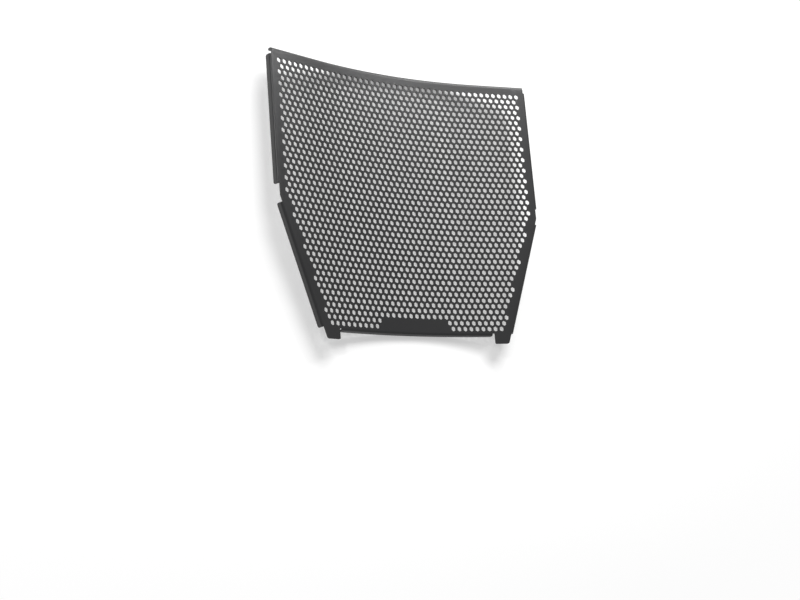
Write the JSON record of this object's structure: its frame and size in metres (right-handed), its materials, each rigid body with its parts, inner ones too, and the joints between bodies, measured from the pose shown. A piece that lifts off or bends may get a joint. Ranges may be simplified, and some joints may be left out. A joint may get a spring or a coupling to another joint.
{
  "type": "radiator guard",
  "caption": "Curved perforated sheet that shields a motorcycle radiator, with flanged edges, tapered lower sides and two small tabs at its lower edge.",
  "frame": {"origin": "bottom centre of the bounding box, as the guard lies on its back", "axes": "+X to the guard's right seen from the front with its top up, +Y towards the guard's top, +Z out of its front face"},
  "size_m": [0.315, 0.2885, 0.0282],
  "materials": {
    "coated_sheet": "satin"
  },
  "bodies": {
    "root": {"radiator_guard": "coated_sheet"}
  },
  "joints": []
}
